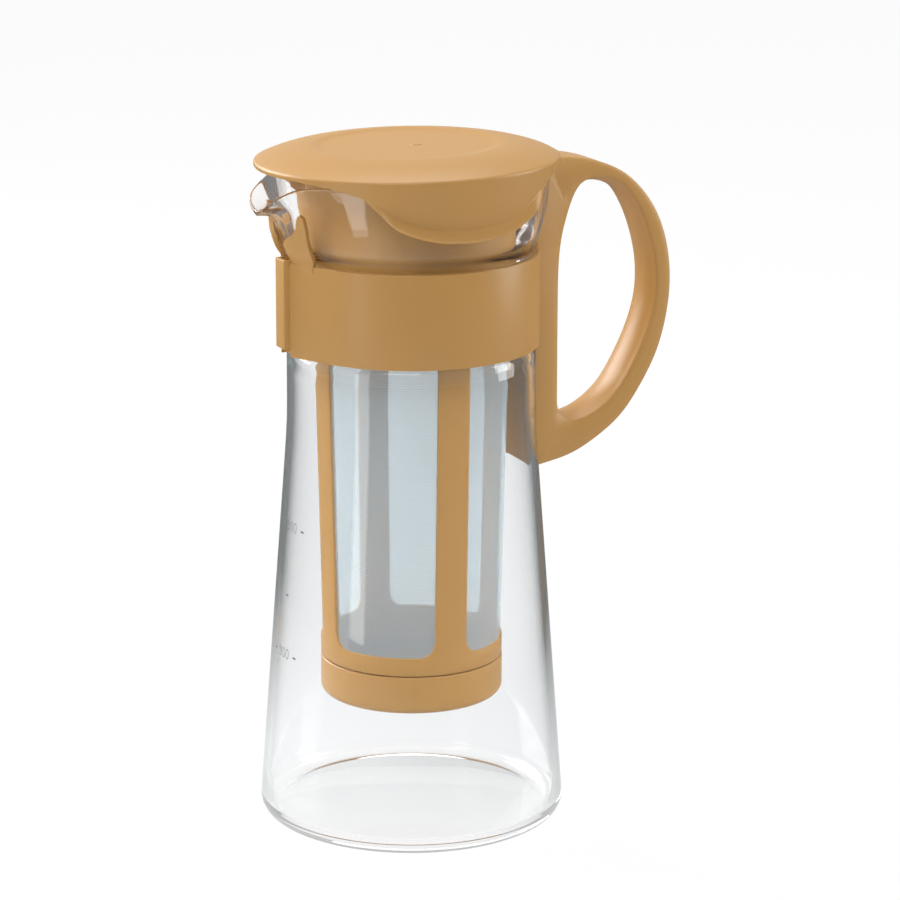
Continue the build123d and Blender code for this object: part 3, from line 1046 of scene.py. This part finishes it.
@dataclass
class Handle:
    """The post that hugs the glass and the D-shaped grip, one smooth loop."""

    material: bpy.types.Material
    jug: GlassJug
    middle: Pair = (60.0, 151.0)
    post_face: float = 44.6
    top: float = 195.6
    foot: float = 103.6
    glass_gap: float = 0.35
    band_embed: float = 36.3
    corner: float = 0.8
    strap_bulge: float = 1.7
    post_bulge: float = 0.35
    stations: int = 168
    cup_spread: tuple[Pair, ...] = ((150.0, 0.0), (178.0, 2.6))
    half_widths: tuple[Pair, ...] = ((36.5, 9.0), (44.6, 7.4), (52.0, 7.05), (85.0, 6.9))
    outer: tuple[Pair, ...] = (
        (47.0, 195.5), (50.6, 195.0), (56.1, 194.0), (61.3, 192.1), (66.2, 189.9),
        (71.5, 185.4), (76.8, 178.7), (80.2, 171.4), (82.2, 163.2), (82.8, 155.5),
        (82.2, 147.6), (80.0, 137.8), (77.7, 132.0), (74.7, 126.6), (70.6, 120.4),
        (66.2, 114.9), (61.0, 111.2), (55.9, 108.1), (50.5, 105.4), (47.2, 104.5),
        (42.5, 104.0),
    )
    hole: tuple[Pair, ...] = (
        (44.6, 121.4), (44.6, 131.0), (44.6, 140.0), (44.6, 150.0), (44.6, 158.0),
        (44.8, 164.5), (45.5, 171.0), (46.9, 176.5), (49.0, 182.6), (51.5, 186.8),
        (54.7, 188.4), (58.0, 188.7), (61.8, 187.8), (66.1, 185.8), (70.4, 180.4),
        (73.9, 173.4), (76.3, 166.0), (77.6, 158.6), (77.5, 150.6), (75.8, 143.5),
        (73.2, 137.0), (69.6, 130.2), (65.5, 124.0), (60.0, 119.2), (54.5, 116.4),
        (49.7, 115.6), (46.6, 116.8), (45.1, 118.8),
    )

    def glass_side(self, height: float) -> float:
        """How far out the handle's glass side is at a height."""
        if height > self.jug.groove_top - 1.5:
            cup = [(z, r) for r, z in self.jug.cup_outside]
            return max(read_off(cup, height) + self.glass_gap, self.band_embed + 0.35)
        if height > self.jug.groove_bottom - 0.5:
            return self.band_embed
        return self.jug.cone_radius(height) + self.glass_gap

    def hit(self, line: Sequence[Pair], turn: float) -> Pair:
        """Where a line out of the loop's middle meets a closed outline.

        Args:
            line: the outline.
            turn: direction in radians, in the XZ plane.

        Returns:
            The point that it meets.
        """
        heading = Vector((math.cos(turn), math.sin(turn)))
        start = Vector(self.middle)
        best = None
        for a, b in zip(line, list(line[1:]) + [line[0]]):
            edge = Vector(b) - Vector(a)
            cross = heading.x * edge.y - heading.y * edge.x
            if abs(cross) < 1e-9:
                continue
            gap = Vector(a) - start
            reach = (gap.x * edge.y - gap.y * edge.x) / cross
            share = (gap.x * heading.y - gap.y * heading.x) / cross
            if reach > 0 and -1e-6 <= share <= 1 + 1e-6 and (best is None or reach < best):
                best = reach
        spot = start + heading * best
        return (spot.x, spot.y)

    def section(self, inside: Pair, outside: Pair, hugging: float) -> list[Vector]:
        """The rounded cross-section between the hole and the outer edge.

        Args:
            inside: point on the hole's edge, as x and z.
            outside: point on the outer edge.
            hugging: 1 where the outer side follows the glass, 0 where it is free.

        Returns:
            Points round the section.
        """
        start, end = Vector(inside), Vector(outside)
        length = (end - start).length
        heading = (end - start) / length
        on_post = 1.0 - min(max((inside[0] - self.post_face) / 12.0, 0.0), 1.0)
        bulge = self.strap_bulge + (self.post_bulge - self.strap_bulge) * on_post
        near, far = read_off(self.half_widths, inside[0]), read_off(self.half_widths, outside[0])
        far += hugging * read_off(self.cup_spread, outside[1])
        small = self.corner
        path: list[Pair] = []
        for number in range(9):
            across = -1 + 2 * number / 8
            path.append((-bulge * (1 - across * across), across * (near - small)))
        path += arc((small, near - small), small, 157.5, 112.5, 3)
        path += [(length * share, near + (far - near) * share) for share in (0.3, 0.6)]
        path += arc((length - small, far - small), small, 67.5, 22.5, 3)
        path += [(length, far * (1 - 2 * number / 8) * (1 - small / far)) for number in range(9)]
        path += arc((length - small, small - far), small, -22.5, -67.5, 3)
        path += [(length * share, -near - (far - near) * share) for share in (0.6, 0.3)]
        path += arc((small, small - near), small, -112.5, -157.5, 3)
        out = []
        for reach, across in path:
            spot = start + heading * reach
            if hugging > 0 and reach > 0.5 * length:
                radius = self.glass_side(spot.y)
                curve = radius - math.sqrt(radius * radius - across * across)
                spot.x -= hugging * curve * (reach / length)
            out.append(Vector((spot.x, across, spot.y)))
        return out

    def build(self) -> None:
        """Makes the loop."""
        outer = evened(along(self.outer, 120), 24)
        count = 60
        wall = []
        for number in range(count + 1):
            height = self.foot + (self.top - self.foot) * number / count
            wall.append((self.glass_side(height), height))
        outline = wall + outer
        hole = evened(along([*self.hole, self.hole[0]], 160), 4)[:-1]
        corners = [
            math.atan2(spot[1] - self.middle[1], spot[0] - self.middle[0]) % math.tau
            for spot in (wall[-1], wall[0])
        ]
        small = 0.004
        turns = [math.tau * number / self.stations for number in range(self.stations)]
        turns = [t for t in turns if all(abs(t - c) > 3 * small for c in corners)]
        turns += [c + step * small for c in corners for step in (-1, 1)]
        turns.sort()
        rings = []
        for turn in turns:
            inside, outside = self.hit(hole, turn), self.hit(outline, turn)
            hugging = 1.0 if corners[0] < turn < corners[1] else 0.0
            rings.append(self.section(inside, outside, hugging))
        bm = skin(len(rings), len(rings[0]), lambda i, j: rings[i][j], (True, True))
        bmesh.ops.recalc_face_normals(bm, faces=bm.faces)
        finish_piece(bm, "handle_grip", self.material, Body.JUG, Slot.PLASTIC, crease=40.0)


# ------------------------------------------------------------------ strainer


@dataclass
class Strainer:
    """The lift-out strainer: frame with four ribs, mesh sleeve and push-on cap."""

    plastic: bpy.types.Material
    cloth: bpy.types.Material
    top: float = 196.4
    top_radius: float = 31.2
    waist: float = 163.0
    waist_radius: float = 29.4
    ring_bottom: float = 49.3
    ring_radius: float = 26.9
    window_bottom: float = 54.8
    window_top: float = 158.0
    window_corner: float = 4.5
    rib_half: float = 5.0
    wall: float = 1.5
    spigot: float = 5.0
    spigot_step: float = 1.65
    cap_seam: float = 0.3
    cap_height: float = 11.6
    cap_edge: float = 2.6
    cap_wall: float = 1.3
    ear_reach: float = 39.2
    ear_half: float = 8.0
    ear_bottom: float = 194.9
    rib_columns: int = 8
    window_columns: int = 22
    corner_rows: int = 6

    def radius(self, height: float) -> float:
        """Outer radius at a height."""
        if height > self.waist:
            share = (height - self.waist) / (self.top - self.waist)
            return self.waist_radius + share * (self.top_radius - self.waist_radius)
        share = (height - self.ring_bottom) / (self.waist - self.ring_bottom)
        return self.ring_radius + share * (self.waist_radius - self.ring_radius)

    def corner_in(self, depth: float) -> float:
        """How much narrower half a window is at this depth from its end, in a round corner."""
        small = self.window_corner
        if depth >= small:
            return 0.0
        return small - math.sqrt(max(small**2 - (small - depth) ** 2, 0.0))

    def levels(self) -> list[float]:
        """Heights of the frame's rows, closest together at the windows' corners."""
        corner = [
            self.window_corner * (1 - math.cos(0.5 * math.pi * n / self.corner_rows))
            for n in range(self.corner_rows + 1)
        ]
        low = [self.window_bottom + depth for depth in corner]
        high = [self.window_top - depth for depth in reversed(corner)]
        rows = 26
        middle = [low[-1] + (high[0] - low[-1]) * n / rows for n in range(1, rows)]
        below = [self.ring_bottom, self.ring_bottom + 2.8]
        above = [self.waist + (self.top - self.waist) * n / 8 for n in range(9)]
        return below + low + middle + high + above

    def frame_sheet(self) -> BMesh:
        """The outer skin of the frame with its windows cut out."""
        levels = self.levels()
        quarter = self.rib_columns + self.window_columns

        def place(column: int, row: int) -> Vector:
            """A point of the skin. Columns start at a rib's edge."""
            height = levels[row]
            radius = self.radius(height)
            rib = math.asin(self.rib_half / radius)
            inside = min(height - self.window_bottom, self.window_top - height)
            grow = self.corner_in(max(inside, 0.0)) / radius
            index, step = divmod(column, quarter)
            if step <= self.rib_columns:
                turn = (rib + grow) * (2 * step / self.rib_columns - 1)
            else:
                share = (step - self.rib_columns) / self.window_columns
                turn = rib + grow + (0.5 * math.pi - 2 * (rib + grow)) * share
            turn += 0.5 * math.pi * index
            return Vector((radius * math.cos(turn), radius * math.sin(turn), height))

        bm = skin(4 * quarter, len(levels) - 1, place, (True, False))
        holes = []
        for face in bm.faces:
            spot = face.calc_center_median()
            if not self.window_bottom < spot.z < self.window_top:
                continue
            turn = math.atan2(spot.y, spot.x) % (0.5 * math.pi)
            radius = math.hypot(spot.x, spot.y)
            edge = math.asin(self.rib_half / radius)
            inside = min(spot.z - self.window_bottom, self.window_top - spot.z)
            edge += self.corner_in(inside) / radius * 0.9
            if edge < turn < 0.5 * math.pi - edge:
                holes.append(face)
        bmesh.ops.delete(bm, geom=holes, context="FACES")
        bm.normal_update()
        turn_outward(bm, from_axis)
        return bm

    def build_frame(self) -> None:
        """Makes the frame, the spigot under it and the ears on its rim."""
        bm = self.frame_sheet()
        thicken(bm, self.wall, 0.3)
        finish_piece(
            bm, "strainer_ribs", self.plastic, Body.STRAINER, Slot.PLASTIC, ["strainer_frame"]
        )
        step_radius = self.ring_radius - self.spigot_step
        bottom = self.ring_bottom - self.spigot
        inside = step_radius - 1.4
        ring = [
            (inside, bottom),
            (step_radius - 0.3, bottom),
            (step_radius, bottom + 0.3),
            (step_radius, self.ring_bottom + 0.6),
            (inside, self.ring_bottom + 0.6),
            (inside, bottom),
        ]
        bm = spin_profile(ring, 128)
        finish_piece(bm, "strainer_spigot", self.plastic, Body.STRAINER, Slot.PLASTIC)
        for side, name in ((1, "ear_far"), (-1, "ear_near")):
            reach = math.degrees(math.asin(self.ear_half / self.ear_reach))
            root = self.radius(self.top) - 0.6
            root_reach = math.degrees(math.asin(self.ear_half / root))
            outline = arc((0, 0), self.ear_reach, 90 - reach, 90 + reach, 12)
            outline += arc((0, 0), root, 90 + root_reach, 90 - root_reach, 12)
            bm = plate([(x, side * y) for x, y in outline], self.ear_bottom, self.top)
            soften(bm, level_edges(bm, (self.ear_bottom, self.top)), 0.3)
            finish_piece(bm, name, self.plastic, Body.STRAINER, Slot.PLASTIC)

    def build_sleeve(self) -> None:
        """Makes the mesh sleeve inside the ribs."""
        low, high = self.window_bottom - 3.0, self.window_top + 3.0
        gap, thick = 0.5, 0.35
        outer = [(self.radius(z) - gap, z) for z in (low, 0.5 * (low + high), high)]
        inner = [(radius - thick, z) for radius, z in reversed(outer)]
        bm = spin_profile(outer + inner + outer[:1], 160)
        finish_piece(
            bm, "filter_sleeve", self.cloth, Body.STRAINER, Slot.MESH, ["strainer_mesh"]
        )

    def build_cap(self) -> None:
        """Makes the bottom cap."""
        radius = self.ring_radius + 0.1
        top = self.ring_bottom - self.cap_seam
        bottom = top - self.cap_height
        small = self.cap_edge
        profile: list[Pair] = [(0.0, bottom + 0.2), (radius - small - 3.0, bottom + 0.2)]
        profile += [(radius - small - 2.0, bottom)]
        profile += arc((radius - small, bottom + small), small, -90.0, 0.0, 8)
        profile += [(radius, top - 0.25), (radius - 0.25, top)]
        profile += [(radius - self.cap_wall, top), (radius - self.cap_wall, bottom + 3.2)]
        profile += [(radius - self.cap_wall - 1.6, bottom + 1.7), (0.0, bottom + 1.7)]
        bm = spin_profile(profile, 144)
        finish_piece(bm, "bottom_cap_cup", self.plastic, Body.CAP, Slot.PLASTIC, ["strainer_cap"])

    def build(self) -> None:
        """Makes every piece of the strainer."""
        self.build_frame()
        self.build_sleeve()
        self.build_cap()


# ------------------------------------------------------------------ lid


@dataclass
class Lid:
    """The loose lid: crowned disc, side skirts, plug ring and a notch for the handle."""

    material: bpy.types.Material
    centre: float = -1.5
    radius: float = 44.2
    edge_top: float = 198.3
    edge_bottom: float = 196.9
    crown_rise: float = 3.9
    crease_radius: float = 27.2
    dish: float = 201.7
    tilt: Pair = (0.013, -0.013)
    inner_foot: Pair = (31.8, 193.7)
    under_roof: float = 199.4
    notch_x: float = 39.8
    notch_half: float = 13.5
    ear_room_half: float = 9.4
    ear_room_z: float = 196.7
    waist_radius: float = 42.0
    waist_z: float = 184.3
    lip_flare: float = 2.5
    lip_height: float = 2.3
    skirt_wall: float = 1.2
    plug_radius: float = 28.9
    plug_wall: float = 1.5
    plug_bottom: float = 188.0
    mark_at: Pair = (1.1, -1.0)
    mark_radius: float = 1.9
    steps: int = 288
    skirt_edge: tuple[Pair, ...] = (
        (0.0, 181.0), (8.0, 181.5), (14.4, 182.75), (18.0, 184.1), (22.0, 186.4),
        (26.7, 190.4), (29.5, 193.6), (34.0, 195.4), (38.3, 196.5), (42.5, 197.0),
    )

    def crown(self, radius: float) -> float:
        """Height of the lid's top at a distance from its middle."""
        if radius <= self.crease_radius:
            return read_off(
                ((0.0, self.dish), (24.0, self.dish), (25.2, self.dish + 0.1),
                 (self.crease_radius, self.edge_top + self.crown_rise)),
                radius,
            )
        outward = (radius - self.crease_radius) / (self.radius - self.crease_radius)
        return self.edge_top + self.crown_rise * (1 - min(outward, 1.0) ** 1.95)

    def seat(self, bm: BMesh) -> None:
        """Leans a piece a little, the way the loose lid lies on the strainer.

        Args:
            bm: the piece in millimetres.
        """
        for vert in bm.verts:
            vert.co.z += self.tilt[0] * vert.co.x + self.tilt[1] * vert.co.y

    def profile(self) -> list[Pair]:
        """The lid's section, from the middle of its top round its edge to the axis below."""
        edge = self.radius
        radii = [0.0, 3.0, 8.0, 14.0, 19.0, 22.5, 24.0, 24.6, 25.2, 25.8, 26.4, 27.2, 28.5]
        radii += [30.5, 33.0, 35.5, 38.0, 40.0, 41.5, 42.6, 43.4, 43.85]
        section = [(r, self.crown(r)) for r in radii]
        section += [(edge - 0.12, self.edge_top - 0.1), (edge, self.edge_top - 0.35)]
        section += [(edge, self.edge_bottom + 0.35)]
        section += [(edge - 0.15, self.edge_bottom + 0.08), (edge - 0.6, self.edge_bottom)]
        foot_r, foot_z = self.inner_foot
        section += [(39.5, 195.85), (35.5, 194.75), (foot_r + 0.4, foot_z)]
        section += [(foot_r, foot_z + 0.3), (foot_r, self.under_roof)]
        section += [(20.0, self.under_roof + 0.7), (0.0, self.under_roof + 0.7)]
        return section

    def build_disc(self) -> None:
        """Makes the disc, with the notch for the handle and room for the strainer's ears."""
        bm = spin_profile(self.profile(), self.steps, (self.centre, 0.0))
        fade = 34.0
        for vert in bm.verts:
            x, y = vert.co.x, vert.co.y
            away = Vector((x - self.centre, y, 0.0))
            if x > 0 and abs(y) < self.notch_half + 0.01:
                limit = math.hypot(self.notch_x - self.centre, y)
                if away.length > fade and limit < self.radius:
                    pulled = fade + (away.length - fade) * (limit - fade) / (self.radius - fade)
                    top = vert.co.z > self.edge_top - 0.2
                    new = away.normalized() * pulled
                    vert.co.x, vert.co.y = self.centre + new.x, new.y
                    if top:
                        vert.co.z = self.crown(pulled)
            if abs(vert.co.x) < self.ear_room_half and vert.co.z < self.ear_room_z:
                vert.co.z = max(vert.co.z, min(self.ear_room_z, self.edge_bottom))
        bmesh.ops.recalc_face_normals(bm, faces=bm.faces)
        self.seat(bm)
        finish_piece(bm, "lid_disc", self.material, Body.LID, Slot.PLASTIC, ["lid"], crease=38.0)

    def skirt_radius(self, height: float, lower: float) -> float:
        """Radius of a skirt's outside.

        Args:
            height: where.
            lower: height of the skirt's lower edge in that column.

        Returns:
            The distance from the lid's middle.
        """
        share = (self.edge_bottom + 0.4 - height) / (self.edge_bottom + 0.4 - self.waist_z)
        share = min(max(share, 0.0), 1.15)
        radius = self.radius + (self.waist_radius - self.radius) * share
        lip = 1 - (height - lower) / self.lip_height
        if lip > 0:
            depth = min(max((191.0 - lower) / 5.0, 0.0), 1.0)
            radius += self.lip_flare * depth * min(lip, 1.0)
        return radius

    def build_skirts(self) -> None:
        """Makes the two side skirts, each with a flared lip."""
        columns, rows = 96, 40
        widest = 68.0
        for side, name in ((1, "skirt_far"), (-1, "skirt_near")):

            def place(column: int, row: int) -> Vector:
                """A point of the skirt's outside."""
                turn = math.radians(widest * (2 * column / columns - 1))
                lower = read_off(self.skirt_edge, abs(self.radius * math.sin(turn)))
                upper = self.edge_bottom + 0.4
                height = lower + (upper - lower) * (row / rows) ** 1.25
                radius = self.skirt_radius(height, lower)
                return Vector(
                    (self.centre + radius * math.sin(turn), side * radius * math.cos(turn), height)
                )

            bm = skin(columns, rows, place, (False, False))
            bm.normal_update()
            turn_outward(bm, from_axis)
            thicken(bm, self.skirt_wall, 0.25)
            self.seat(bm)
            finish_piece(bm, name, self.material, Body.LID, Slot.PLASTIC)

    def build_plug(self) -> None:
        """Makes the plug ring that goes inside the strainer."""
        outer, inner = self.plug_radius, self.plug_radius - self.plug_wall
        low, high = self.plug_bottom, self.under_roof + 0.4
        ring = [
            (inner, low + 0.3),
            (inner + 0.3, low),
            (outer - 0.3, low),
            (outer, low + 0.3),
            (outer, high),
            (inner, high),
            (inner, low + 0.3),
        ]
        bm = spin_profile(ring, 144)
        self.seat(bm)
        finish_piece(bm, "lid_plug", self.material, Body.LID, Slot.PLASTIC)

    def build_mark(self) -> None:
        """Makes the low moulding mark on the lid's top."""
        bm = bmesh.new()
        bmesh.ops.create_cone(
            bm,
            cap_ends=True,
            segments=40,
            radius1=self.mark_radius,
            radius2=self.mark_radius - 0.35,
            depth=0.5,
        )
        at = Vector((*self.mark_at, self.dish - 0.1))
        bmesh.ops.translate(bm, vec=at, verts=bm.verts)
        self.seat(bm)
        finish_piece(bm, "lid_mark", self.material, Body.LID, Slot.PLASTIC)

    def build(self) -> None:
        """Makes every piece of the lid."""
        self.build_disc()
        self.build_skirts()
        self.build_plug()
        self.build_mark()


# ------------------------------------------------------------------ studio


@dataclass
class Studio:
    """Floor, lamps, world and camera."""

    camera_at: tuple[float, float, float] = (-0.4387, -0.9198, 0.3810)
    camera_tilt: float = 75.136
    camera_turn: float = -25.5
    lens: float = 143.22
    sensor: float = 36.0
    shift_x: float = 0.0428
    fill_level: float = 0.27
    sky_left: float = 0.75
    sky_right: float = 0.48

    def floor(self, paper: bpy.types.Material) -> None:
        """Lays the pale floor.

        Args:
            paper: its material.
        """
        bm = bmesh.new()
        bmesh.ops.create_circle(bm, cap_ends=True, segments=96, radius=6.0)
        mesh = bpy.data.meshes.new("floor")
        bm.to_mesh(mesh)
        bm.free()
        mesh.materials.append(paper)
        sheet = bpy.data.objects.new("floor", mesh)
        bpy.context.scene.collection.objects.link(sheet)

    def world(self) -> None:
        """Sets a white surround, softer for the light that it gives."""
        world = bpy.data.worlds.new("surround")
        bpy.context.scene.world = world
        world.use_nodes = True
        tree = world.node_tree
        tree.nodes.clear()
        white = tree.nodes.new("ShaderNodeBackground")
        white.inputs["Color"].default_value = (1.0, 1.0, 1.0, 1.0)
        fill = tree.nodes.new("ShaderNodeBackground")
        fill.inputs["Strength"].default_value = self.fill_level
        mix = tree.nodes.new("ShaderNodeMixShader")
        output = tree.nodes.new("ShaderNodeOutputWorld")
        place = tree.nodes.new("ShaderNodeTexCoord")
        split = tree.nodes.new("ShaderNodeSeparateXYZ")
        tree.links.new(place.outputs["Generated"], split.inputs[0])
        level = ramp(tree, split.outputs["X"], (-1.0, self.sky_left), (1.0, self.sky_right))
        seen, brightness = eye_rays(tree, level)
        tree.links.new(seen, mix.inputs[0])
        tree.links.new(brightness, white.inputs["Strength"])
        tree.links.new(fill.outputs[0], mix.inputs[1])
        tree.links.new(white.outputs[0], mix.inputs[2])
        tree.links.new(mix.outputs[0], output.inputs["Surface"])

    def lamp(
        self, name: str, turn: float, height: float, distance: float, size: Pair, power: float
    ) -> None:
        """Adds one soft rectangular lamp that faces the jug.

        Args:
            name: name of the lamp.
            turn: direction from the jug in degrees, to the left of the camera.
            height: its height in metres.
            distance: level distance from the jug in metres.
            size: width and height in metres.
            power: in watts.
        """
        data = bpy.data.lights.new(name, "AREA")
        data.shape = "RECTANGLE"
        data.size, data.size_y = size
        data.energy = power
        lamp = bpy.data.objects.new(name, data)
        heading = math.radians(270.0 + self.camera_turn - turn)
        spot = Vector((distance * math.cos(heading), distance * math.sin(heading), height))
        target = Vector((0.0, 0.0, 0.1))
        lamp.matrix_world = Matrix.LocRotScale(
            spot, (target - spot).to_track_quat("-Z", "Y"), None
        )
        bpy.context.scene.collection.objects.link(lamp)

    def camera(self) -> None:
        """Adds the camera."""
        data = bpy.data.cameras.new("camera")
        data.sensor_width = self.sensor
        data.lens = self.lens
        data.shift_x = self.shift_x
        data.clip_start = 0.05
        data.clip_end = 50.0
        eye = bpy.data.objects.new("camera", data)
        eye.location = self.camera_at
        tilt, turn = math.radians(self.camera_tilt), math.radians(self.camera_turn)
        eye.rotation_euler = Euler((tilt, 0.0, turn))
        bpy.context.scene.collection.objects.link(eye)
        bpy.context.scene.camera = eye

    def build(self) -> None:
        """Sets up the whole studio."""
        self.floor(PaleFloor().build())
        self.world()
        self.lamp("window", 44.0, 0.125, 0.36, (0.08, 0.24), 0.14)
        self.lamp("overhead", 170.0, 1.3, 0.3, (1.0, 1.0), 9.6)
        self.lamp("back left", 125.0, 0.55, 0.9, (0.7, 0.6), 9.5)
        self.lamp("front", 10.0, 0.95, 0.8, (0.6, 0.5), 4.2)
        self.lamp("edge", -95.0, 0.4, 1.0, (0.4, 0.8), 5.0)
        self.camera()
        scene = bpy.context.scene
        scene.view_settings.view_transform = "Standard"


def main() -> None:
    """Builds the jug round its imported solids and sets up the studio."""
    logging.basicConfig(level=logging.INFO, format="%(message)s")
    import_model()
    plastic = SatinPlastic().build()
    glass = ClearGlass().build()
    cloth = FilterCloth().build()
    ink = ScreenPrint().build()
    jug = GlassJug(glass)
    surface = jug.build()
    Graduations(ink, jug).build()
    NeckBand(plastic).build()
    Horns(plastic, surface).build()
    Clasp(plastic).build()
    Handle(plastic, jug).build()
    Strainer(plastic, cloth).build()
    Lid(plastic).build()
    Studio().build()


if __name__ == "__main__":
    main()
